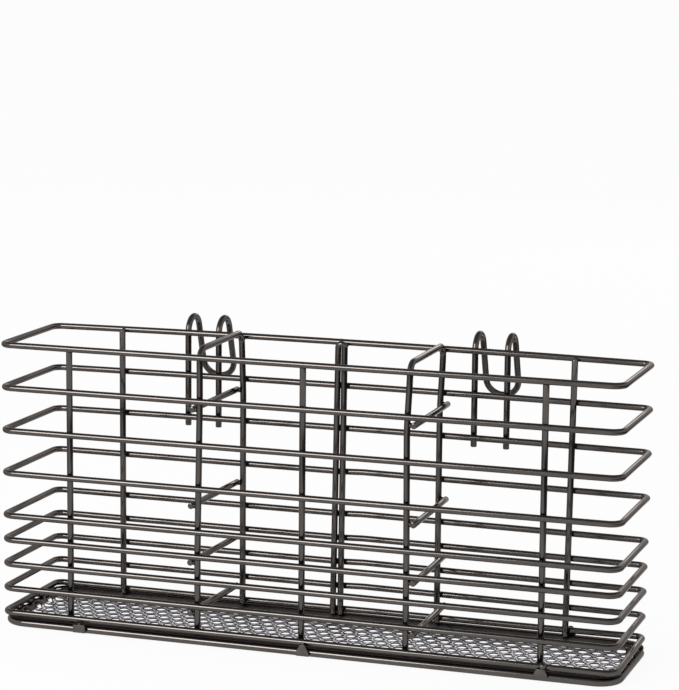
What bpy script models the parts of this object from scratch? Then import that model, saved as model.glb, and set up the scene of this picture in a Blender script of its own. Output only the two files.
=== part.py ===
"""Wire utensil drying rack.

Nine closed wire hoops stand one above another over a shallow perforated tray.
Uprights join the hoops at the front and the back, two dividers make three
compartments, and two double hooks behind the rack hang it on a rail or a wire.
Everything is welded: each wire is a separate piece that keeps a small gap to
the wires it is welded to. Metres, +Z up, front towards -Y. The origin is the
middle of the footprint, hooks included, on the surface that the rack stands on.
"""

import math

import bmesh
import bpy
from mathutils import Vector

# Basket, measured from wire centre to wire centre
HOOP_WIDTH = 0.2500
HOOP_DEPTH = 0.0510
HOOP_CORNER_RADIUS = 0.0045
WIRE_DIAMETER = 0.0025
RING_WIRE_DIAMETER = 0.0030
WIDE_PITCH = 0.0172
CLOSE_PITCH = 0.0099
TOP_HOOP_RISE = 0.0009

# Clearance that welded neighbours keep, and the thickness of the tray
JOINT_GAP = 0.0003
SHEET_THICKNESS = 0.0005

# Base ring and tray
RING_CORNER_RADIUS = 0.0085
LIP_INSET = 0.0018
LIP_OVERHANG = 0.0010
TRAY_WALL_RUN = 0.0026
HOLE_DIAMETER = 0.0039
HOLE_PITCH = 0.0057
HOLE_ROW_PITCH = 0.0052
HOLE_MARGIN = 0.0033

# Tabs that join the base ring to the lowest hoop
TAB_WIDTH = 0.0054
TAB_HEIGHT = 0.0042
TAB_THICKNESS = 0.0011
TAB_EDGE = 0.0002

# Uprights
UPRIGHT_OVER_HOOP = 0.0004
HAIRPIN_PITCH = 0.0029

# Dividers
DIVIDER_RISE = 0.0028
DIVIDER_CORNER_RADIUS = 0.0045
DIVIDER_FOOT_BELOW_HOOP = 0.0006

# Double hooks
HOOK_LEG_PITCH = 0.0132
HOOK_RISE = 0.0062
HOOK_BEND_RADIUS = 0.0060
HOOK_REAR_RUN = 0.0164
HOOK_END_BELOW_HOOP = 0.0036
HOOK_SPLAY = math.radians(17.8)

# Counts and roundness
WIDE_GAPS = 4
CLOSE_GAPS = 4
HOOK_END_HOOP = 3
CORNER_STEPS = 3
RING_CORNER_STEPS = 4
BEND_STEPS = 6
RISE_STEPS = 6
HOLE_SIDES = 6
FIT_SLACK = 0.01
WIRE_STEPS = 2

# Places along the width, as shares of the hoop width from the middle
FRONT_UPRIGHT_SHARES = {"left": -0.387, "centre": 0.0015, "right": 0.382}
BACK_UPRIGHT_SHARES = {"left": -0.375, "right": 0.378}
HAIRPIN_SHARE = -0.003
DIVIDER_SHARES = {"left": -0.1672, "right": 0.168}
HOOK_SHARES = {"left": -0.242, "right": 0.2415}
FRONT_TAB_SHARES = {"left": -0.364, "centre": 0.011, "right": 0.388}
BACK_TAB_SHARES = {"left": -0.375, "centre": -0.003, "right": 0.378}

# Heights of the rungs, as shares of the way from the lowest hoop to the highest
RUNG_HEIGHT_SHARES = (0.808, 0.456, 0.247, 0.059)
TAB_TOP_WIDTH_SHARE = 0.62

# Levels and lines that follow from the sizes above
WIRE_RADIUS = WIRE_DIAMETER / 2
RING_WIRE_RADIUS = RING_WIRE_DIAMETER / 2
BESIDE_WIRE = WIRE_DIAMETER + JOINT_GAP
FLOOR_LEVEL = JOINT_GAP + SHEET_THICKNESS / 2
LIP_LEVEL = RING_WIRE_DIAMETER + JOINT_GAP + SHEET_THICKNESS / 2
LIP_TOP = LIP_LEVEL + SHEET_THICKNESS / 2
LOWEST_HOOP_LEVEL = LIP_TOP + JOINT_GAP + WIRE_RADIUS
HOOP_LEVELS = [LOWEST_HOOP_LEVEL + CLOSE_PITCH * step for step in range(CLOSE_GAPS)]
HOOP_LEVELS += [HOOP_LEVELS[-1] + CLOSE_PITCH + WIDE_PITCH * step for step in range(WIDE_GAPS + 1)]
HOOP_LEVELS.reverse()
TOP_HOOP_LEVEL = HOOP_LEVELS[0]

HALF_WIDTH = HOOP_WIDTH / 2
HALF_DEPTH = HOOP_DEPTH / 2
INSIDE_LINE = HALF_DEPTH - BESIDE_WIRE
HOOK_LINE = HALF_DEPTH + BESIDE_WIRE
HOOK_BEND_LEVEL = TOP_HOOP_LEVEL + HOOK_RISE - HOOK_BEND_RADIUS
HOOK_REAR_LENGTH = HOOK_REAR_RUN + HOOK_LEG_PITCH / 2
HOOK_REAR_LINE = HOOK_LINE + HOOK_BEND_RADIUS * (1 + math.cos(HOOK_SPLAY))
TAB_BACK_LINE = HALF_DEPTH + RING_WIRE_RADIUS + JOINT_GAP
FLOOR_HALF_X = HALF_WIDTH - LIP_INSET - TRAY_WALL_RUN
FLOOR_HALF_Y = HALF_DEPTH - LIP_INSET - TRAY_WALL_RUN

FRONT_REACH = TAB_BACK_LINE + TAB_THICKNESS
BACK_REACH = HOOK_REAR_LINE + HOOK_REAR_LENGTH * math.sin(HOOK_SPLAY) + WIRE_RADIUS
BASKET_Y = (FRONT_REACH - BACK_REACH) / 2

AXIS_X = Vector((1.0, 0.0, 0.0))
AXIS_Y = Vector((0.0, 1.0, 0.0))
AXIS_Z = Vector((0.0, 0.0, 1.0))


def clear_scene():
    """Remove every object that the file holds."""
    for old in list(bpy.data.objects):
        bpy.data.objects.remove(old, do_unlink=True)


def plated_metal(name, colour, roughness):
    """One metal finish, as a Principled material."""
    material = bpy.data.materials.new(name)
    material.use_nodes = True
    shader = material.node_tree.nodes["Principled BSDF"]
    shader.inputs["Base Color"].default_value = (*colour, 1.0)
    shader.inputs["Metallic"].default_value = 1.0
    shader.inputs["Roughness"].default_value = roughness
    return material


def place(name, data, colour=(0.17, 0.16, 0.15), roughness=0.22):
    """Put a curve or a mesh in the rack, under the basket's own frame."""
    piece = bpy.data.objects.new(name, data)
    piece.data.materials.append(plated_metal(name + "_finish", colour, roughness))
    piece.parent = basket
    rack.objects.link(piece)
    return piece


def arc(centre, across, up, radius, start, end, steps):
    """Points on an arc in the plane of two unit vectors, from one angle to another."""
    angles = [start + (end - start) * step / steps for step in range(steps + 1)]
    return [
        centre + across * (radius * math.cos(angle)) + up * (radius * math.sin(angle))
        for angle in angles
    ]


def rounded_rectangle(half_x, half_y, radius, level, steps):
    """The corner arcs of a rounded rectangle, from the front right corner anticlockwise."""
    points = []
    corners = ((1, -1, -0.5), (1, 1, 0.0), (-1, 1, 0.5), (-1, -1, 1.0))
    for side_x, side_y, half_turns in corners:
        centre = Vector((side_x * (half_x - radius), side_y * (half_y - radius), level))
        start = math.pi * half_turns
        points += arc(centre, AXIS_X, AXIS_Y, radius, start, start + math.pi / 2, steps)
    return points


def wire(name, points, closed=False, radius=WIRE_RADIUS):
    """A round wire along the points, with flat cut ends where it is open."""
    curve = bpy.data.curves.new(name, "CURVE")
    curve.dimensions = "3D"
    curve.bevel_depth = radius
    curve.bevel_resolution = WIRE_STEPS
    curve.use_fill_caps = True
    spline = curve.splines.new("POLY")
    spline.points.add(len(points) - 1)
    for point, co in zip(spline.points, points):
        point.co = (*co, 1.0)
    spline.use_cyclic_u = closed
    return place(name, curve)


def upright(name, x, y, foot, top):
    """A straight vertical wire."""
    return wire(name, [Vector((x, y, foot)), Vector((x, y, top))])


def hoop(name, level, rise):
    """A closed rectangular hoop, whose back side may rise a little in the middle."""
    points = rounded_rectangle(HALF_WIDTH, HALF_DEPTH, HOOP_CORNER_RADIUS, level, CORNER_STEPS)
    if rise:
        straight = HALF_WIDTH - HOOP_CORNER_RADIUS
        middle = 2 * (CORNER_STEPS + 1)
        back = []
        for step in range(1, RISE_STEPS):
            along = 1 - 2 * step / RISE_STEPS
            lift = rise * (1 - along * along)
            back.append(Vector((straight * along, HALF_DEPTH, level + lift)))
        points[middle:middle] = back
    return wire(name, points, closed=True)


def divider(name, x):
    """An inverted U that stands across the basket, inside the hoops."""
    top = TOP_HOOP_LEVEL + DIVIDER_RISE
    foot = LOWEST_HOOP_LEVEL - DIVIDER_FOOT_BELOW_HOOP
    bend = DIVIDER_CORNER_RADIUS
    front = Vector((x, bend - INSIDE_LINE, top - bend))
    back = Vector((x, INSIDE_LINE - bend, top - bend))
    points = [Vector((x, -INSIDE_LINE, foot))]
    points += arc(front, AXIS_Y, AXIS_Z, bend, math.pi, math.pi / 2, CORNER_STEPS)
    points += arc(back, AXIS_Y, AXIS_Z, bend, math.pi / 2, 0.0, CORNER_STEPS)
    points += [Vector((x, INSIDE_LINE, foot))]
    return wire(name, points)


def rung(name, x, level):
    """A straight wire across the basket, welded to the outer side of a divider."""
    end = INSIDE_LINE + WIRE_RADIUS
    return wire(name, [Vector((x, -end, level)), Vector((x, end, level))])


def hairpin(name, x, y, foot, top):
    """Two uprights side by side, bent from one wire that turns back at the top."""
    bend = HAIRPIN_PITCH / 2
    centre = Vector((x, y, top - WIRE_RADIUS - bend))
    points = [Vector((x - bend, y, foot))]
    points += arc(centre, AXIS_X, AXIS_Z, bend, math.pi, 0.0, BEND_STEPS)
    points += [Vector((x + bend, y, foot))]
    return wire(name, points)


def hook(name, x):
    """A double hook from one wire: two front legs, two bends and a U that joins the rear legs."""
    half_pitch = HOOK_LEG_PITCH / 2
    end_level = HOOP_LEVELS[HOOK_END_HOOP - 1] - HOOK_END_BELOW_HOOP
    down = Vector((0.0, math.sin(HOOK_SPLAY), -math.cos(HOOK_SPLAY)))
    legs = []
    for side in (-1, 1):
        leg_x = x + side * half_pitch
        centre = Vector((leg_x, HOOK_LINE + HOOK_BEND_RADIUS, HOOK_BEND_LEVEL))
        bend = arc(centre, AXIS_Y, AXIS_Z, HOOK_BEND_RADIUS, math.pi, HOOK_SPLAY, BEND_STEPS)
        legs.append([Vector((leg_x, HOOK_LINE, end_level))] + bend)
    left, right = legs
    turn = (left[-1] + right[-1]) / 2 + down * HOOK_REAR_RUN
    bottom = arc(turn, AXIS_X, -down, half_pitch, math.pi, 2 * math.pi, BEND_STEPS)
    return wire(name, left + bottom + right[::-1])


def closed_loop(bm, points):
    """The vertices at the points, joined by a closed ring of edges."""
    verts = [bm.verts.new(co) for co in points]
    edges = [bm.edges.new(pair) for pair in zip(verts, verts[1:] + verts[:1])]
    return verts, edges


def band_between(bm, lower, upper):
    """A band of faces between two loops that have as many vertices."""
    for side in zip(lower, lower[1:] + lower[:1], upper[1:] + upper[:1], upper):
        bm.faces.new(side)


def hole_centres():
    """Centres of the staggered holes that fit on the tray's floor."""
    half_x = FLOOR_HALF_X - HOLE_MARGIN
    half_y = FLOOR_HALF_Y - HOLE_MARGIN
    rows = int(2 * half_y / HOLE_ROW_PITCH + FIT_SLACK) + 1
    columns = int(2 * half_x / HOLE_PITCH + FIT_SLACK) + 1
    centres = []
    for row in range(rows):
        y = (row - (rows - 1) / 2) * HOLE_ROW_PITCH
        count = columns - row % 2
        for column in range(count):
            x = (column - (count - 1) / 2) * HOLE_PITCH
            centres.append(Vector((x, y, FLOOR_LEVEL)))
    return centres


def perforated_tray(name):
    """A shallow sheet dish: a floor full of holes, a sloping wall and a flat lip."""
    bm = bmesh.new()
    loops = []
    for half_x, level in (
        (FLOOR_HALF_X, FLOOR_LEVEL),
        (HALF_WIDTH - LIP_INSET, LIP_LEVEL),
        (HALF_WIDTH + LIP_OVERHANG, LIP_LEVEL),
    ):
        inset = HALF_WIDTH - half_x
        radius = RING_CORNER_RADIUS - inset
        outline = rounded_rectangle(half_x, HALF_DEPTH - inset, radius, level, RING_CORNER_STEPS)
        loops.append(closed_loop(bm, outline))
    (floor_rim, rim_edges), (wall_top, _), (lip_edge, _) = loops
    hole_edges = []
    for centre in hole_centres():
        around = arc(centre, AXIS_X, AXIS_Y, HOLE_DIAMETER / 2, 0.0, 2 * math.pi, HOLE_SIDES)
        hole_edges += closed_loop(bm, around[:-1])[1]
    bmesh.ops.triangle_fill(bm, edges=rim_edges + hole_edges, use_beauty=True, normal=AXIS_Z)
    band_between(bm, floor_rim, wall_top)
    band_between(bm, wall_top, lip_edge)
    bmesh.ops.recalc_face_normals(bm, faces=bm.faces)
    mesh = bpy.data.meshes.new(name)
    bm.to_mesh(mesh)
    bm.free()
    tray = place(name, mesh, (0.36, 0.35, 0.38), 0.30)
    wall = tray.modifiers.new("sheet", "SOLIDIFY")
    wall.thickness = SHEET_THICKNESS
    wall.offset = 0.0
    return tray


def tab(name, x, side):
    """A pressed tab outside the base ring, narrower at the top, with its flat foot on the ground."""
    bm = bmesh.new()
    bmesh.ops.create_cube(bm, size=1.0)
    bmesh.ops.scale(bm, verts=bm.verts, vec=(TAB_WIDTH, TAB_THICKNESS, TAB_HEIGHT))
    upper = [vert for vert in bm.verts if vert.co.z > 0]
    bmesh.ops.scale(bm, verts=upper, vec=(TAB_TOP_WIDTH_SHARE, 1.0, 1.0))
    mesh = bpy.data.meshes.new(name)
    bm.to_mesh(mesh)
    bm.free()
    piece = place(name, mesh, (0.10, 0.095, 0.09), 0.45)
    piece.location = (x, side * (TAB_BACK_LINE + TAB_THICKNESS / 2), TAB_HEIGHT / 2)
    edge = piece.modifiers.new("edge", "BEVEL")
    edge.width = TAB_EDGE
    edge.segments = 1
    return piece


clear_scene()
rack = bpy.data.collections.new("utensil_rack")
bpy.context.scene.collection.children.link(rack)
basket = bpy.data.objects.new("basket_frame", None)
basket.location = (0.0, BASKET_Y, 0.0)
rack.objects.link(basket)

# Hoops, numbered from the top
for number, hoop_level in enumerate(HOOP_LEVELS, start=1):
    hoop(f"hoop_{number}", hoop_level, TOP_HOOP_RISE if number == 1 else 0.0)

# Base ring, tray and the tabs that tie them to the lowest hoop
ring_points = rounded_rectangle(
    HALF_WIDTH, HALF_DEPTH, RING_CORNER_RADIUS, RING_WIRE_RADIUS, RING_CORNER_STEPS
)
wire("base_ring", ring_points, closed=True, radius=RING_WIRE_RADIUS)
perforated_tray("perforated_tray")
for side_name, share in FRONT_TAB_SHARES.items():
    tab(f"front_tab_{side_name}", share * HOOP_WIDTH, -1)
for side_name, share in BACK_TAB_SHARES.items():
    tab(f"back_tab_{side_name}", share * HOOP_WIDTH, 1)

# Uprights inside the hoops, standing on the tray's lip
upright_foot = LIP_TOP + JOINT_GAP
upright_top = TOP_HOOP_LEVEL + UPRIGHT_OVER_HOOP
for side_name, share in FRONT_UPRIGHT_SHARES.items():
    upright(f"front_upright_{side_name}", share * HOOP_WIDTH, -INSIDE_LINE, upright_foot, upright_top)
for side_name, share in BACK_UPRIGHT_SHARES.items():
    upright(f"back_upright_{side_name}", share * HOOP_WIDTH, INSIDE_LINE, upright_foot, upright_top)
hairpin("back_upright_centre", HAIRPIN_SHARE * HOOP_WIDTH, INSIDE_LINE, upright_foot, upright_top)

# Dividers, with their rungs on the side away from the middle compartment
for side_name, share in DIVIDER_SHARES.items():
    divider_x = share * HOOP_WIDTH
    divider(f"divider_{side_name}", divider_x)
    rung_x = divider_x + math.copysign(BESIDE_WIRE, share)
    for number, height_share in enumerate(RUNG_HEIGHT_SHARES, start=1):
        rung_level = LOWEST_HOOP_LEVEL + height_share * (TOP_HOOP_LEVEL - LOWEST_HOOP_LEVEL)
        rung(f"divider_{side_name}_rung_{number}", rung_x, rung_level)

# Double hooks outside the back of the hoops
for side_name, share in HOOK_SHARES.items():
    hook(f"hook_{side_name}", share * HOOP_WIDTH)
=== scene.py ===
"""Wire utensil rack in dark nickel plate, standing on a pale studio floor.

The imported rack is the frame: every wire, tab and sheet here is made again with
round sections, true bends, cut ends and weld beads, where its node stands.
Metres, +Z up, front towards -Y.
"""

import math

import bmesh
import bpy
from mathutils import Matrix, Vector


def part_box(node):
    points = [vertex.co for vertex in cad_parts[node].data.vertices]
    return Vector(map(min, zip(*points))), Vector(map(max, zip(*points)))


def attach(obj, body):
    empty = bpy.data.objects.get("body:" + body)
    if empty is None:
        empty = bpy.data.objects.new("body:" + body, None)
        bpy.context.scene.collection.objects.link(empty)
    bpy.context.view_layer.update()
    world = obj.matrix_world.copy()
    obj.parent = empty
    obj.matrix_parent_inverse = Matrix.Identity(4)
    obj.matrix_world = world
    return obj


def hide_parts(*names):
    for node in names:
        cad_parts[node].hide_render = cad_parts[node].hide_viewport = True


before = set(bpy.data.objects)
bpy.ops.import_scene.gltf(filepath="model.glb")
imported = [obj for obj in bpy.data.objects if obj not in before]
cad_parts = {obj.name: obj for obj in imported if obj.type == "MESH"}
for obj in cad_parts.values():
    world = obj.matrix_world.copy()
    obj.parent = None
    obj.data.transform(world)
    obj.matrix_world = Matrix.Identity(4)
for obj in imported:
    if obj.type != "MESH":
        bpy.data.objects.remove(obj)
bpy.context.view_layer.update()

BODY = "root"
X, Y, Z = Vector((1, 0, 0)), Vector((0, 1, 0)), Vector((0, 0, 1))

# Wire
WIRE_RADIUS = 0.00125
RING_RADIUS = 0.0015
WIRE_SIDES = 20
END_CHAMFER = 0.00028
RUNG_CHAMFER = 0.0005
MERGE_WITHIN = 0.0002

# Hoops and base ring
HOOP_CORNER = 0.0045
BACK_CORNER = 0.0034
RING_CORNER = 0.0085
CORNER_STEPS = 8
BACK_STEPS = 12
SIDE_STEPS = 4
RISE_POWER = 6
TOP_RISE = 0.0009
UPPER_RISE = 0.0006
BUTT_LIFT = 0.00045
BUTT_DROP = 0.00030
BUTT_EASE_SHARE = 0.03
BUTT_WELD_REACH = 0.0007
BUTT_WELD_SWELL = 1.12
LOWEST_BACK_LIFT = 0.00045
LIFT_FROM_X, LIFT_RUN = -0.045, 0.060
CORNER_PULL = 0.0006

# Dividers, hooks and the double upright
DIVIDER_CORNER = 0.0045
DIVIDER_LEG_STEPS, DIVIDER_RUNG_STEPS = 24, 6
HOOK_BEND = 0.0060
HOOK_SPLAY = math.radians(17.8)
HOOK_REAR_RUN = 0.0164
HOOK_LEG_STEPS, HOOK_REAR_STEPS, HOOK_BEND_STEPS = 4, 3, 16
HAIRPIN_SPREAD = 0.00012
HAIRPIN_REACH = 0.0014
HAIRPIN_LEAN = 0.0012
HAIRPIN_LEG_STEPS, HAIRPIN_BEND_STEPS = 4, 12
CROOKED_FOOT = -0.0007
CROOKED_TOP = 0.0007
RIGHT_LEAN = 0.0010
RIGHT_LEAN_BELOW_HOOP = 0.006
RIGHT_LEAN_RUN = 0.020
FOOT_OUT = 0.0006
BACK_LEG_LEFT = 0.0007
FRONT_LEG_LEFT = 0.0010
LEG_BOW = 0.00075
LEG_BOW_RUN = 0.022
FOOT_RUN = 0.060

# Weld beads, as their reach along X, Y and Z
CROSS_WELD = (0.00112, 0.00078, 0.00105)
RUNG_WELD = (0.00080, 0.00112, 0.00110)

# Tray
SHEET = 0.0004
SHEET_MIDDLE = 0.00025
HOLE_RADIUS = 0.00190
HOLE_SIDES = 14
HOLE_PITCH = 0.0057
ROW_PITCH = 0.0052
HOLE_SHIFT = -0.00285
WALL_RUN = 0.0026
WALL_RISE = 0.0030
LIP_WIDTH = 0.0028
BACK_LIP_LIFT = 0.00035
FLOOR_CORNER = 0.0041
PRESS_RADIUS = 0.0008
PRESS_STEPS = 200
WALL_CUTS = 6
SHADED_WALL_SHARE = 0.2
CORNER_TRIMS = 24

# Tabs: level of the foot and of the top, width at the top against the foot, radius of the bead
TABS = {
    "left": (0.0006, 0.0038, 0.94, 0.0006),
    "centre": (0.0006, 0.0050, 0.40, 0.0007),
    "right": (0.0022, 0.0052, 0.62, 0.0015),
}
TAB_EDGE = 0.00020
SMALL_BEAD = 0.0006
BEAD_ASIDE_SHARE = 0.6

# Level of the rack that the lights face
LIT_LEVEL = 0.055

# Camera, solved from the photograph's hoops
SENSOR_WIDTH = 36.0
YAW, PITCH, ROLL = -0.3269, 0.1655, 0.0090
FOCAL_PIXELS, FRAME_PIXELS = 2631.2, 690
CAMERA_RIGHT, CAMERA_IN_FRONT, CAMERA_OVER_HOOP = 0.3294, 0.9501, 0.28005


def centre_of(node):
    """The middle of a node's box."""
    low, high = (Vector(corner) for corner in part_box(node))
    return (low + high) / 2


def show(name, bm, finish, nodes=(), sharp=40.0):
    """Turn a bmesh into a piece of the rack, in place of the nodes that it stands for."""
    bmesh.ops.recalc_face_normals(bm, faces=bm.faces)
    mesh = bpy.data.meshes.new(name)
    bm.to_mesh(mesh)
    bm.free()
    mesh.shade_smooth()
    mesh.set_sharp_from_angle(angle=math.radians(sharp))
    mesh.materials.append(finish)
    piece = bpy.data.objects.new(name, mesh)
    bpy.context.scene.collection.objects.link(piece)
    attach(piece, BODY)
    if nodes:
        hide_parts(*nodes)
    return piece


class Wire:
    """A round wire that is drawn and bent piece by piece from its first cut end."""

    def __init__(self, start, heading, radius=WIRE_RADIUS):
        self.bm = bmesh.new()
        self.at = Vector(start)
        self.heading = Vector(heading).normalized()
        turn = self.heading.to_track_quat("Z", "Y").to_matrix().to_4x4()
        made = bmesh.ops.create_circle(
            self.bm, segments=WIRE_SIDES, radius=radius, matrix=Matrix.Translation(self.at) @ turn
        )
        self.end = list({edge for vert in made["verts"] for edge in vert.link_edges})
        self.first = list(self.end)

    def run(self, length, steps=1):
        """Draw the wire straight on."""
        for _ in range(steps):
            made = bmesh.ops.extrude_edge_only(self.bm, edges=self.end)["geom"]
            verts = [part for part in made if isinstance(part, bmesh.types.BMVert)]
            bmesh.ops.translate(self.bm, verts=verts, vec=self.heading * (length / steps))
            ring = set(verts)
            self.end = [
                part for part in made
                if isinstance(part, bmesh.types.BMEdge) and ring.issuperset(part.verts)
            ]
        self.at = self.at + self.heading * length
        return self

    def run_to(self, place, steps=1):
        """Draw the wire straight on until it is abreast of a place."""
        return self.run((Vector(place) - self.at).dot(self.heading), steps)

    def bend(self, toward, radius, angle=math.pi / 2, steps=CORNER_STEPS):
        """Bend the wire towards a side, on a radius at its centre line."""
        toward = Vector(toward)
        side = (toward - self.heading * toward.dot(self.heading)).normalized()
        axis = self.heading.cross(side)
        centre = self.at + side * radius
        verts = list({vert for edge in self.end for vert in edge.verts})
        made = bmesh.ops.spin(
            self.bm, geom=verts + self.end, cent=centre, axis=axis, angle=angle, steps=steps
        )["geom_last"]
        self.end = [part for part in made if isinstance(part, bmesh.types.BMEdge)]
        turn = Matrix.Rotation(angle, 3, axis)
        self.at = centre + turn @ (self.at - centre)
        self.heading = turn @ self.heading
        return self

    def join(self):
        """Close the wire on its own start."""
        verts = [vert for edge in self.end + self.first for vert in edge.verts]
        bmesh.ops.remove_doubles(self.bm, verts=list(set(verts)), dist=MERGE_WITHIN)
        return self.bm

    def cut(self, chamfer=END_CHAMFER):
        """Face both cut ends and break their edges."""
        for rim in (self.first, self.end):
            bmesh.ops.edgeloop_fill(self.bm, edges=rim)
            bmesh.ops.bevel(
                self.bm, geom=rim, offset=chamfer, offset_type="OFFSET", segments=2,
                profile=0.5, affect="EDGES", material=-1,
            )
        return self.bm


def weld_bead(bm, place, reach):
    """A small nugget of metal where two wires are welded."""
    made = bmesh.ops.create_uvsphere(bm, u_segments=8, v_segments=5, radius=1.0)
    bmesh.ops.scale(bm, verts=made["verts"], vec=reach)
    bmesh.ops.translate(bm, verts=made["verts"], vec=place)


# Finishes
class Reading:
    """A value read somewhere in a finish, which Python's operators combine into Math nodes."""

    def __init__(self, finish, socket):
        self.finish = finish
        self.socket = socket

    def __add__(self, other):
        return self.finish.maths("ADD", self, other)

    __radd__ = __add__

    def __sub__(self, other):
        return self.finish.maths("SUBTRACT", self, other)

    def __rsub__(self, other):
        return self.finish.maths("SUBTRACT", other, self)

    def __mul__(self, other):
        return self.finish.maths("MULTIPLY", self, other)

    __rmul__ = __mul__


class Finish:
    """A Principled metal whose colour, roughness and surface vary over the piece."""

    def __init__(self, name, metallic=1.0, edge_tint=None):
        self.material = bpy.data.materials.new(name)
        self.material.use_nodes = True
        self.tree = self.material.node_tree
        self.shader = self.tree.nodes["Principled BSDF"]
        self.shader.inputs["Metallic"].default_value = metallic
        if edge_tint:
            self.shader.inputs["Specular Tint"].default_value = (*edge_tint, 1.0)
        self.place = self.node("ShaderNodeTexCoord").outputs["Object"]

    def node(self, kind, settings=None, sockets=None):
        """A node of any kind, with its settings made first and then its sockets filled or linked."""
        made = self.tree.nodes.new(kind)
        for key, value in (settings or {}).items():
            setattr(made, key, value)
        for key, value in (sockets or {}).items():
            self.feed(made.inputs[key], value)
        return made

    def feed(self, socket, value):
        """Link a reading or a socket, or set a plain value."""
        if isinstance(value, Reading):
            value = value.socket
        if isinstance(value, bpy.types.NodeSocket):
            self.tree.links.new(value, socket)
        else:
            socket.default_value = value

    def maths(self, operation, first, second):
        """One Math node on two values."""
        made = self.node("ShaderNodeMath", {"operation": operation}, {0: first, 1: second})
        return Reading(self, made.outputs[0])

    def cloud(self, scale, detail=3.0, stretch=None):
        """Noise on the object's own coordinates, from 0 to 1."""
        place = self.place
        if stretch:
            place = self.node("ShaderNodeMapping", None, {"Vector": place, "Scale": stretch}).outputs[0]
        made = self.node("ShaderNodeTexNoise", None, {"Vector": place, "Scale": scale, "Detail": detail})
        return Reading(self, made.outputs["Fac"])

    def ramp(self, value, low, high, start, end):
        """A value that goes smoothly from start to end while another goes from low to high."""
        made = self.node(
            "ShaderNodeMapRange", {"interpolation_type": "SMOOTHSTEP"},
            {"Value": value, "From Min": low, "From Max": high, "To Min": start, "To Max": end},
        )
        return Reading(self, made.outputs[0])

    def blend(self, first, second, amount):
        """A colour between two colours."""
        made = self.node(
            "ShaderNodeMix", {"data_type": "RGBA"},
            {"Factor": amount, 6: (*first, 1.0), 7: (*second, 1.0)},
        )
        return made.outputs[2]

    def wear(self, colour, roughness, relief=None, depth=0.0):
        """Feed what varies to the shader."""
        self.feed(self.shader.inputs["Base Color"], colour)
        self.feed(self.shader.inputs["Roughness"], roughness)
        if relief is not None:
            bump = self.node("ShaderNodeBump", None, {"Strength": 1.0, "Distance": depth, "Height": relief})
            self.feed(self.shader.inputs["Normal"], bump.outputs[0])
        return self.material


def plated_wire():
    """Polished black nickel over drawn steel: faintly cloudy, warm and a little darker at its rims."""
    finish = Finish("plated_wire", edge_tint=(0.60, 0.58, 0.57))
    cloudy = finish.cloud(70.0)
    fine = finish.cloud(900.0, 2.0)
    colour = finish.blend((0.078, 0.070, 0.065), (0.118, 0.108, 0.101), cloudy)
    return finish.wear(colour, 0.09 + 0.06 * cloudy, fine, 0.000003)


def weld_metal():
    """Weld nuggets under the same plate: lumpier, duller and darker."""
    finish = Finish("weld_metal", edge_tint=(0.30, 0.28, 0.27))
    lumps = finish.cloud(1100.0)
    colour = finish.blend((0.045, 0.040, 0.037), (0.110, 0.100, 0.092), lumps)
    return finish.wear(colour, 0.24 + 0.16 * lumps, lumps, 0.00012)


def perforated_sheet():
    """Bright plated sheet with a faint rolling grain along its length."""
    finish = Finish("perforated_sheet")
    cloudy = finish.cloud(55.0)
    grain = finish.cloud(260.0, 3.0, (0.15, 3.0, 3.0))
    colour = finish.blend((0.58, 0.56, 0.61), (0.80, 0.78, 0.83), 0.6 * cloudy + 0.4 * grain)
    return finish.wear(colour, 0.12 + 0.08 * grain + 0.05 * cloudy, grain, 0.00001)


def painted_shade_wall():
    """The pressed walls and lip of the tray, with painted shade: made dark for the shadow they lie in."""
    finish = Finish("painted_shade_wall", edge_tint=(0.30, 0.28, 0.27))
    cloudy = finish.cloud(160.0)
    # Painted shade: the walls and lip get this dark colour for the shadow that they lie in.
    colour = finish.blend((0.085, 0.078, 0.075), (0.145, 0.132, 0.126), cloudy)
    return finish.wear(colour, 0.22 + 0.10 * cloudy, cloudy, 0.00001)


def painted_shade_edge():
    """The sheet's own thickness in the holes and along the rim, near black as painted shade, mottled by the
    punch.
    """
    finish = Finish("painted_shade_edge")
    torn = finish.cloud(1400.0, 2.0)
    # Painted shade: a near-black colour for the shadow seen through the holes and under the rim.
    colour = finish.blend((0.008, 0.007, 0.008), (0.024, 0.022, 0.024), torn)
    return finish.wear(colour, 0.45 + 0.2 * torn)


def dull_tab():
    """Dull plate on the small tabs, browned by welding."""
    finish = Finish("dull_tab", edge_tint=(0.35, 0.33, 0.32))
    cloudy = finish.cloud(420.0)
    colour = finish.blend((0.075, 0.068, 0.062), (0.125, 0.114, 0.104), cloudy)
    return finish.wear(colour, 0.38 + 0.14 * cloudy, cloudy, 0.00008)


wire_finish = plated_wire()
weld_finish = weld_metal()
sheet_finish = perforated_sheet()
painted_shade_wall_finish = painted_shade_wall()
painted_shade_edge_finish = painted_shade_edge()
tab_finish = dull_tab()

# Places that the pieces share
basket_y = centre_of("hoop_5").y
hoop_low, hoop_high = (Vector(corner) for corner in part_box("hoop_5"))
half_width = (hoop_high.x - hoop_low.x) / 2 - WIRE_RADIUS
half_depth = (hoop_high.y - hoop_low.y) / 2 - WIRE_RADIUS
front_y, back_y = basket_y - half_depth, basket_y + half_depth
joint_x = centre_of("back_upright_centre").x
hoop_levels = {number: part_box(f"hoop_{number}")[0][2] + WIRE_RADIUS for number in range(1, 10)}


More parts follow.
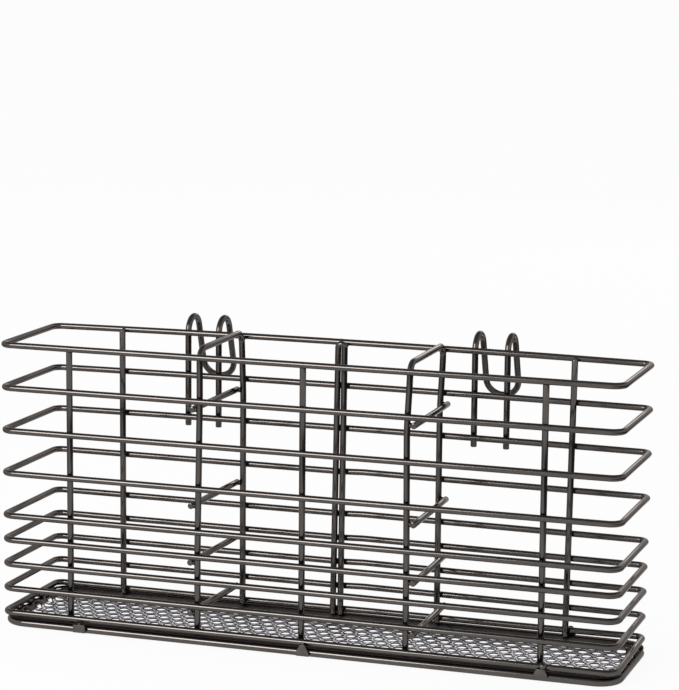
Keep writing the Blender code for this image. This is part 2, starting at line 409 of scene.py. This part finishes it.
def closed_hoop(node, level, radius, corner, back_corner, shape):
    """A hoop bent from one wire, whose ends meet behind the double upright."""
    wire = Wire((joint_x, back_y, level), X, radius)
    wire.run_to((half_width - back_corner, 0, 0), BACK_STEPS).bend(-Y, back_corner)
    wire.run_to((0, front_y + corner, 0), SIDE_STEPS).bend(-X, corner)
    wire.run_to((-half_width + corner, 0, 0), 2 * BACK_STEPS).bend(Y, corner)
    wire.run_to((0, back_y - back_corner, 0), SIDE_STEPS).bend(X, back_corner)
    wire.run_to((joint_x, 0, 0), BACK_STEPS)
    bm = wire.join()
    for vert in bm.verts:
        vert.co += shape(vert.co.x, vert.co.y)
    if node != "base_ring":
        bead = BUTT_WELD_SWELL * radius
        place = Vector((joint_x, back_y, level)) + shape(joint_x, back_y)
        weld_bead(bm, place, (BUTT_WELD_REACH, bead, bead))
    show(node + "_wire", bm, wire_finish, [node])


def toward_back(y):
    """From 0 at the front side of a hoop to 1 at its back side."""
    return min(max((y - front_y) / (back_y - front_y), 0.0), 1.0)


def bowed(rise):
    """The back side arches up a little between the corners."""
    return lambda x, y: Z * (rise * toward_back(y) ** RISE_POWER * (1 - (x / half_width) ** 2))


def uneven(pull):
    """The right half of the back side starts high and ends low, with its corner pulled in."""
    def shape(x, y):
        if x < joint_x:
            return Vector((0, 0, 0))
        along = (x - joint_x) / (half_width - joint_x)
        ease = min(along / BUTT_EASE_SHARE, 1.0)
        lift = toward_back(y) ** RISE_POWER * ease * (BUTT_LIFT - (BUTT_LIFT + BUTT_DROP) * along)
        return Vector((-pull * toward_back(y) * along ** 4, 0, lift))
    return shape


def tipped(x, y):
    """The lowest hoop's back side rises towards the right, with its corner pulled in."""
    along = max(x / half_width, 0.0) ** 4
    rise = min(max((x - LIFT_FROM_X) / LIFT_RUN, 0.0), 1.0) + along
    back = toward_back(y)
    return Vector((-CORNER_PULL * back * along, 0, LOWEST_BACK_LIFT * back * rise))


for number, level in hoop_levels.items():
    if number == 1:
        shape = bowed(TOP_RISE)
    elif number <= 3:
        shape = bowed(UPPER_RISE)
    elif number == 9:
        shape = tipped
    else:
        shape = uneven(CORNER_PULL * (number - 3) / 5)
    closed_hoop(f"hoop_{number}", level, WIRE_RADIUS, HOOP_CORNER, BACK_CORNER, shape)
ring_level = centre_of("base_ring").z
closed_hoop(
    "base_ring", ring_level, RING_RADIUS, RING_CORNER, RING_CORNER, lambda x, y: Vector((0, 0, 0))
)

# Uprights
weld_spots = {"front": [], "back": [], "divider": [], "hook": []}


def cross_welds(group, x, wire_y, other_y, levels):
    """Note the welds of an upright wire to the hoops that it crosses."""
    for level in levels:
        place = Vector((x, (wire_y + other_y) / 2, level))
        weld_spots[group].append((place, CROSS_WELD))


for side in ("front", "back"):
    hoop_y = front_y if side == "front" else back_y
    for hand in ("left", "centre", "right"):
        node = f"{side}_upright_{hand}"
        if node == "back_upright_centre":
            continue
        low, high = (Vector(corner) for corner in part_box(node))
        middle = (low + high) / 2
        foot_x, top_x = middle.x, middle.x
        if node == "back_upright_right":
            foot_x, top_x = middle.x + CROOKED_FOOT, middle.x + CROOKED_TOP
        rise = high.z - low.z
        wire = Wire((foot_x, middle.y, low.z), (top_x - foot_x, 0, rise)).run(rise)
        show(node + "_wire", wire.cut(), wire_finish, [node])
        for level in hoop_levels.values():
            along = (level - low.z) / rise
            cross_welds(side, foot_x + (top_x - foot_x) * along, middle.y, hoop_y, [level])

# The double upright, one wire that turns back on itself over the top hoop
low, high = (Vector(corner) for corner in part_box("back_upright_centre"))
middle = (low + high) / 2
leg = (high.x - low.x) / 2 - WIRE_RADIUS
arch_top = high.z + HAIRPIN_REACH
spread = math.atan(HAIRPIN_SPREAD / (arch_top - low.z) * 2)
wire = Wire((middle.x - leg - HAIRPIN_SPREAD, middle.y, low.z), Z + X * math.tan(spread))
wire.run_to((0, 0, arch_top - WIRE_RADIUS - leg), HAIRPIN_LEG_STEPS)
turn = (middle.x - wire.at.x) / math.cos(spread)
wire.bend(X, turn, math.pi - 2 * spread, HAIRPIN_BEND_STEPS)
wire.run((wire.at.z - low.z) / math.cos(spread), HAIRPIN_LEG_STEPS)
bm = wire.cut()
for vert in bm.verts:
    vert.co.x += HAIRPIN_LEAN * vert.co.z / arch_top
show("back_upright_centre_wire", bm, wire_finish, ["back_upright_centre"])
for level in hoop_levels.values():
    for leg_x in (middle.x - leg, middle.x + leg):
        cross_welds("back", leg_x + HAIRPIN_LEAN * level / arch_top, middle.y, back_y, [level])


def leaning_right(y, z):
    """The right divider's legs part at the foot, and both lean right at their top."""
    top = min(max((z - hoop_levels[2] + RIGHT_LEAN_BELOW_HOOP) / RIGHT_LEAN_RUN, 0.0), 1.0)
    foot = min(max((hoop_levels[2] - z) / FOOT_RUN, 0.0), 1.0)
    back = toward_back(y)
    return RIGHT_LEAN * top + FOOT_OUT * foot * (1 - back) - BACK_LEG_LEFT * back


def bowed_leg(y, z):
    """The left divider's legs part below their top, the front one towards the left."""
    back = toward_back(y)
    near_top = min(max((hoop_levels[1] - z) / LEG_BOW_RUN, 0.0), 1.0)
    foot = min(max((hoop_levels[2] - z) / FOOT_RUN, 0.0), 1.0)
    return LEG_BOW * back * near_top - FRONT_LEG_LEFT * (1 - back) * foot


# Dividers and their rungs
for hand, aside in (("left", bowed_leg), ("right", leaning_right)):
    node = f"divider_{hand}"
    low, high = (Vector(corner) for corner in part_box(node))
    x = (low.x + high.x) / 2
    leg_front, leg_back = low.y + WIRE_RADIUS, high.y - WIRE_RADIUS
    top = high.z - WIRE_RADIUS
    wire = Wire((x, leg_front, low.z), Z)
    wire.run_to((0, 0, top - DIVIDER_CORNER), DIVIDER_LEG_STEPS).bend(Y, DIVIDER_CORNER)
    wire.run_to((0, leg_back - DIVIDER_CORNER, 0), DIVIDER_RUNG_STEPS).bend(-Z, DIVIDER_CORNER)
    wire.run_to((0, 0, low.z), DIVIDER_LEG_STEPS)
    bm = wire.cut()
    for vert in bm.verts:
        vert.co.x += aside(vert.co.y, vert.co.z)
    show(node + "_wire", bm, wire_finish, [node])
    for level in hoop_levels.values():
        cross_welds("divider", x + aside(leg_front, level), leg_front, front_y, [level])
        cross_welds("divider", x + aside(leg_back, level), leg_back, back_y, [level])
    for number in range(1, 5):
        rung = f"{node}_rung_{number}"
        low, high = (Vector(corner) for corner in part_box(rung))
        middle = (low + high) / 2
        wire = Wire((middle.x, low.y, middle.z), Y).run_to(high, DIVIDER_RUNG_STEPS)
        bm = wire.cut(RUNG_CHAMFER)
        for vert in bm.verts:
            vert.co.x += aside(vert.co.y, vert.co.z)
        show(rung + "_wire", bm, wire_finish, [rung])
        for leg_y in (leg_front, leg_back):
            place = Vector(((x + middle.x) / 2 + aside(leg_y, middle.z), leg_y, middle.z))
            weld_spots["divider"].append((place, RUNG_WELD))

# Double hooks
for hand in ("left", "right"):
    node = f"hook_{hand}"
    low, high = (Vector(corner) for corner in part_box(node))
    x = (low.x + high.x) / 2
    half_pitch = (high.x - low.x) / 2 - WIRE_RADIUS
    y = low.y + WIRE_RADIUS
    bend_level = high.z - WIRE_RADIUS - HOOK_BEND
    sweep = math.pi - HOOK_SPLAY
    wire = Wire((x - half_pitch, y, low.z), Z)
    wire.run_to((0, 0, bend_level), HOOK_LEG_STEPS).bend(Y, HOOK_BEND, sweep, HOOK_BEND_STEPS)
    wire.run(HOOK_REAR_RUN, HOOK_REAR_STEPS).bend(X, half_pitch, math.pi, HOOK_BEND_STEPS)
    wire.run(HOOK_REAR_RUN, HOOK_REAR_STEPS).bend(-Y, HOOK_BEND, sweep, HOOK_BEND_STEPS)
    wire.run_to(low, HOOK_LEG_STEPS)
    show(node + "_wire", wire.cut(), wire_finish, [node])
    for leg_x in (x - half_pitch, x + half_pitch):
        cross_welds("hook", leg_x, y, back_y, [hoop_levels[number] for number in (1, 2, 3)])

for group, spots in weld_spots.items():
    bm = bmesh.new()
    for place, reach in spots:
        weld_bead(bm, place, reach)
    show(group + "_welds", bm, weld_finish, sharp=60.0)

# Tray, punched flat and then pressed into a shallow dish with a lip
tray_low, tray_high = (Vector(corner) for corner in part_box("perforated_tray"))
floor_half_x = tray_high.x - LIP_WIDTH - WALL_RUN
floor_half_y = (tray_high.y - tray_low.y) / 2 - LIP_WIDTH - WALL_RUN
floor_level = tray_low.z + SHEET_MIDDLE


def press_profile():
    """How far out and up the sheet has gone at each step past the edge of the floor."""
    slope = math.atan2(WALL_RISE, WALL_RUN)
    wall = math.hypot(WALL_RISE, WALL_RUN)
    step = wall / PRESS_STEPS
    table = [(0.0, 0.0)]
    for index in range(2 * PRESS_STEPS):
        past = index * step
        into = min(max(past / PRESS_RADIUS + 0.5, 0.0), 1.0)
        out_of = min(max((past - wall) / PRESS_RADIUS + 0.5, 0.0), 1.0)
        angle = slope * (into - out_of)
        out, up = table[-1]
        table.append((out + step * math.cos(angle), up + step * math.sin(angle)))
    return table, step


def press(point, table, step):
    """Where a point of the flat sheet lies once the dish is pressed."""
    core = Vector((
        min(max(point.x, -floor_half_x + FLOOR_CORNER), floor_half_x - FLOOR_CORNER),
        min(max(point.y, -floor_half_y + FLOOR_CORNER), floor_half_y - FLOOR_CORNER),
        0.0,
    ))
    away = Vector((point.x, point.y, 0.0)) - core
    past = away.length - FLOOR_CORNER
    if past <= 0:
        return Vector((point.x, point.y + basket_y, floor_level))
    index = min(int(past / step), len(table) - 2)
    share = past / step - index
    out = table[index][0] + (table[index + 1][0] - table[index][0]) * share
    up = table[index][1] + (table[index + 1][1] - table[index][1]) * share
    placed = core + away.normalized() * (FLOOR_CORNER + out)
    up *= 1 + BACK_LIP_LIFT / WALL_RISE * min(max(placed.y / half_depth, 0.0), 1.0) ** 4
    return Vector((placed.x, placed.y + basket_y, floor_level + up))


def punched_tray():
    """The sheet with staggered round holes, trimmed and pressed."""
    table, step = press_profile()
    wall = math.hypot(WALL_RISE, WALL_RUN)
    reach = wall + LIP_WIDTH
    half_x, half_y = floor_half_x + reach, floor_half_y + reach
    bm = bmesh.new()
    blank = bmesh.ops.create_grid(bm, x_segments=1, y_segments=1, size=1.0)
    bmesh.ops.scale(bm, verts=blank["verts"], vec=(half_x + HOLE_PITCH, half_y + ROW_PITCH, 1.0))
    edges = list(bm.edges)
    bmesh.ops.delete(bm, geom=list(bm.faces), context="FACES_ONLY")
    rows = int((floor_half_y + 0.5 * ROW_PITCH) / ROW_PITCH)
    columns = int(half_x / HOLE_PITCH)
    for row in range(-rows, rows + 1):
        stagger = 0.5 if row % 2 else 0.0
        for column in range(-columns, columns + 1):
            x = (column + stagger) * HOLE_PITCH + HOLE_SHIFT
            place = Matrix.Translation((x, row * ROW_PITCH, 0.0))
            hole = bmesh.ops.create_circle(bm, segments=HOLE_SIDES, radius=HOLE_RADIUS, matrix=place)
            edges += list({edge for vert in hole["verts"] for edge in vert.link_edges})
    bmesh.ops.triangle_fill(bm, edges=edges, use_beauty=True, normal=Z)
    trims = []
    corner = FLOOR_CORNER + reach
    for turn in range(CORNER_TRIMS):
        angle = 2 * math.pi * turn / CORNER_TRIMS
        out = Vector((math.cos(angle), math.sin(angle), 0.0))
        core = Vector((
            math.copysign(half_x - corner, out.x) if abs(out.x) > 1e-6 else 0.0,
            math.copysign(half_y - corner, out.y) if abs(out.y) > 1e-6 else 0.0,
            0.0,
        ))
        trims.append((core + out * corner, out))
    for place, out in trims:
        parts = list(bm.verts) + list(bm.edges) + list(bm.faces)
        bmesh.ops.bisect_plane(bm, geom=parts, plane_co=place, plane_no=out, clear_outer=True)
    for index in range(WALL_CUTS + 2):
        past = wall * (index - 0.5) / WALL_CUTS
        for place, out in (
            (Vector((floor_half_x + past, 0, 0)), X), (Vector((-floor_half_x - past, 0, 0)), -X),
            (Vector((0, floor_half_y + past, 0)), Y), (Vector((0, -floor_half_y - past, 0)), -Y),
        ):
            parts = list(bm.verts) + list(bm.edges) + list(bm.faces)
            bmesh.ops.bisect_plane(bm, geom=parts, plane_co=place, plane_no=out)
    for vert in bm.verts:
        vert.co = press(vert.co, table, step)
    # Painted shade: faces up on the walls and lip take the dark wall finish in slot 2.
    for face in bm.faces:
        if face.calc_center_median().z > floor_level + SHADED_WALL_SHARE * WALL_RISE:
            face.material_index = 2
    tray = show("perforated_tray_sheet", bm, sheet_finish, ["perforated_tray"], 30.0)
    # A rim takes the slot after its face's own, so a painted-shade edge follows the sheet and the
    # painted-shade wall
    for finish in (painted_shade_edge_finish, painted_shade_wall_finish, painted_shade_edge_finish):
        tray.data.materials.append(finish)
    thicken = tray.modifiers.new("sheet", "SOLIDIFY")
    thicken.thickness = SHEET
    thicken.offset = 0.0
    thicken.material_offset_rim = 1


punched_tray()


def pressed_tab(node, outward, foot, top, shoulder):
    """A small pressed tab on the base ring, narrower towards the lowest hoop."""
    low, high = (Vector(corner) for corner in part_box(node))
    middle = (low + high) / 2
    size = Vector((high.x - low.x, high.y - low.y, top - foot))
    bm = bmesh.new()
    bmesh.ops.create_cube(bm, size=1.0)
    bmesh.ops.scale(bm, verts=bm.verts, vec=size)
    bmesh.ops.translate(bm, verts=bm.verts, vec=(middle.x, middle.y, (foot + top) / 2))
    for share, width in ((0.30, 1.0), (0.55, (2 + shoulder) / 3), (0.80, (1 + 2 * shoulder) / 3)):
        parts = list(bm.verts) + list(bm.edges) + list(bm.faces)
        level = foot + size.z * share
        cut = bmesh.ops.bisect_plane(bm, geom=parts, plane_co=(0, 0, level), plane_no=Z)["geom_cut"]
        for vert in (part for part in cut if isinstance(part, bmesh.types.BMVert)):
            vert.co.x = middle.x + (vert.co.x - middle.x) * width
    for vert in bm.verts:
        if vert.co.z > top - 1e-5:
            vert.co.x = middle.x + (vert.co.x - middle.x) * shoulder
    bmesh.ops.bevel(
        bm, geom=list(bm.edges), offset=TAB_EDGE, offset_type="OFFSET", segments=2,
        profile=0.5, affect="EDGES", material=-1,
    )
    show(node + "_plate", bm, tab_finish, [node], 35.0)
    return Vector((middle.x, middle.y + outward * size.y / 2, top))


tab_beads = bmesh.new()
for side, outward in (("front", -1), ("back", 1)):
    for hand, (foot, top, shoulder, bead) in TABS.items():
        place = pressed_tab(f"{side}_tab_{hand}", outward, foot, top, shoulder)
        place += Vector((BEAD_ASIDE_SHARE * (bead - SMALL_BEAD), -outward * bead, bead / 2))
        made = bmesh.ops.create_uvsphere(tab_beads, u_segments=20, v_segments=12, radius=bead)
        bmesh.ops.translate(tab_beads, verts=made["verts"], vec=place)
show("tab_welds", tab_beads, wire_finish, sharp=60.0)

# Studio: a pale floor, a white surround and soft light
scene = bpy.context.scene
scene.view_settings.view_transform = "Standard"


class Studio(Finish):
    """The node tree of the world or of the floor, written in the same way as a finish."""

    def __init__(self, owner, tree_shader):
        owner.use_nodes = True
        self.tree = owner.node_tree
        self.shader = self.tree.nodes[tree_shader]
        path = self.node("ShaderNodeLightPath").outputs
        self.camera_ray = Reading(self, path["Is Camera Ray"])
        seen = self.maths("MAXIMUM", self.camera_ray, path["Is Glossy Ray"])
        self.seen_ray = self.maths("MAXIMUM", seen, path["Is Transmission Ray"])


def studio_world(ambient, overhead):
    """White round the rack, dimmer overhead in reflections, and a plain level for what it lights."""
    world = bpy.data.worlds.new("studio")
    studio = Studio(world, "Background")
    way = studio.node("ShaderNodeTexCoord").outputs["Generated"]
    height = studio.node("ShaderNodeSeparateXYZ", None, {0: way}).outputs["Z"]
    surround = studio.ramp(height, 0.35, 0.80, 1.0, overhead)
    shown = studio.camera_ray + (1.0 - studio.camera_ray) * surround
    strength = studio.seen_ray * shown + (1.0 - studio.seen_ray) * ambient
    studio.feed(studio.shader.inputs["Strength"], strength)
    studio.shader.inputs["Color"].default_value = (1.0, 1.0, 1.0, 1.0)
    scene.world = world


def studio_floor(half_size, whiteness, shaded_side):
    """A pale floor that keeps a faint shadow, and is dimmer in reflections to the right and far left."""
    bm = bmesh.new()
    bmesh.ops.create_grid(bm, x_segments=1, y_segments=1, size=half_size)
    mesh = bpy.data.meshes.new("floor")
    bm.to_mesh(mesh)
    bm.free()
    floor = bpy.data.objects.new("floor", mesh)
    scene.collection.objects.link(floor)
    material = bpy.data.materials.new("pale_floor")
    mesh.materials.append(material)
    studio = Studio(material, "Principled BSDF")
    studio.shader.inputs["Base Color"].default_value = (0.86, 0.86, 0.86, 1.0)
    studio.shader.inputs["Roughness"].default_value = 1.0
    studio.shader.inputs["Specular IOR Level"].default_value = 0.0
    place = studio.node("ShaderNodeTexCoord").outputs["Object"]
    across = studio.node("ShaderNodeSeparateXYZ", None, {0: place}).outputs["X"]
    right = studio.ramp(across, 0.10, 0.40, 1.0, shaded_side)
    left = studio.ramp(across, -0.45, -0.15, 0.5, 1.0)
    strength = studio.camera_ray + (1.0 - studio.camera_ray) * right * left
    glow = studio.node("ShaderNodeEmission", None, {"Strength": strength})
    mix = studio.node(
        "ShaderNodeMixShader", None,
        {0: studio.seen_ray * whiteness, 1: studio.shader.outputs[0], 2: glow.outputs[0]},
    )
    studio.feed(studio.tree.nodes["Material Output"].inputs["Surface"], mix.outputs[0])


def softbox(name, direction, distance, width, height, radiance):
    """A rectangular soft light that faces the rack."""
    data = bpy.data.lights.new(name, "AREA")
    data.shape = "RECTANGLE"
    data.size = width
    data.size_y = height
    data.energy = radiance * math.pi * width * height
    lamp = bpy.data.objects.new(name, data)
    out = Vector(direction).normalized()
    lamp.location = Vector((0.0, basket_y, LIT_LEVEL)) + out * distance
    lamp.rotation_euler = out.to_track_quat("Z", "Y").to_euler()
    lamp.visible_camera = False
    scene.collection.objects.link(lamp)


studio_world(ambient=0.75, overhead=0.30)
studio_floor(half_size=15.0, whiteness=0.93, shaded_side=0.05)
softbox("key_softbox", (-0.400, -0.77, 0.46), distance=1.40, width=0.53, height=0.60, radiance=8.8)
softbox("rear_softbox", (-0.02, 0.93, 0.35), distance=1.50, width=0.45, height=0.20, radiance=3.8)

# Camera at the photograph's angle
ahead = Vector((math.sin(YAW) * math.cos(PITCH), math.cos(YAW) * math.cos(PITCH), -math.sin(PITCH)))
level_right = Vector((math.cos(YAW), -math.sin(YAW), 0.0))
level_up = level_right.cross(ahead)
right = level_right * math.cos(ROLL) + level_up * math.sin(ROLL)
up = right.cross(ahead)
camera = bpy.data.objects.new("camera", bpy.data.cameras.new("camera"))
camera.data.sensor_width = SENSOR_WIDTH
camera.data.lens = SENSOR_WIDTH * FOCAL_PIXELS / FRAME_PIXELS
camera.data.clip_start = 0.01
camera.data.clip_end = 100.0
axes = Matrix((right, up, -ahead)).transposed().to_4x4()
stand = Vector((CAMERA_RIGHT, basket_y - CAMERA_IN_FRONT, hoop_levels[9] + CAMERA_OVER_HOOP))
camera.matrix_world = Matrix.Translation(stand) @ axes
scene.collection.objects.link(camera)
scene.camera = camera
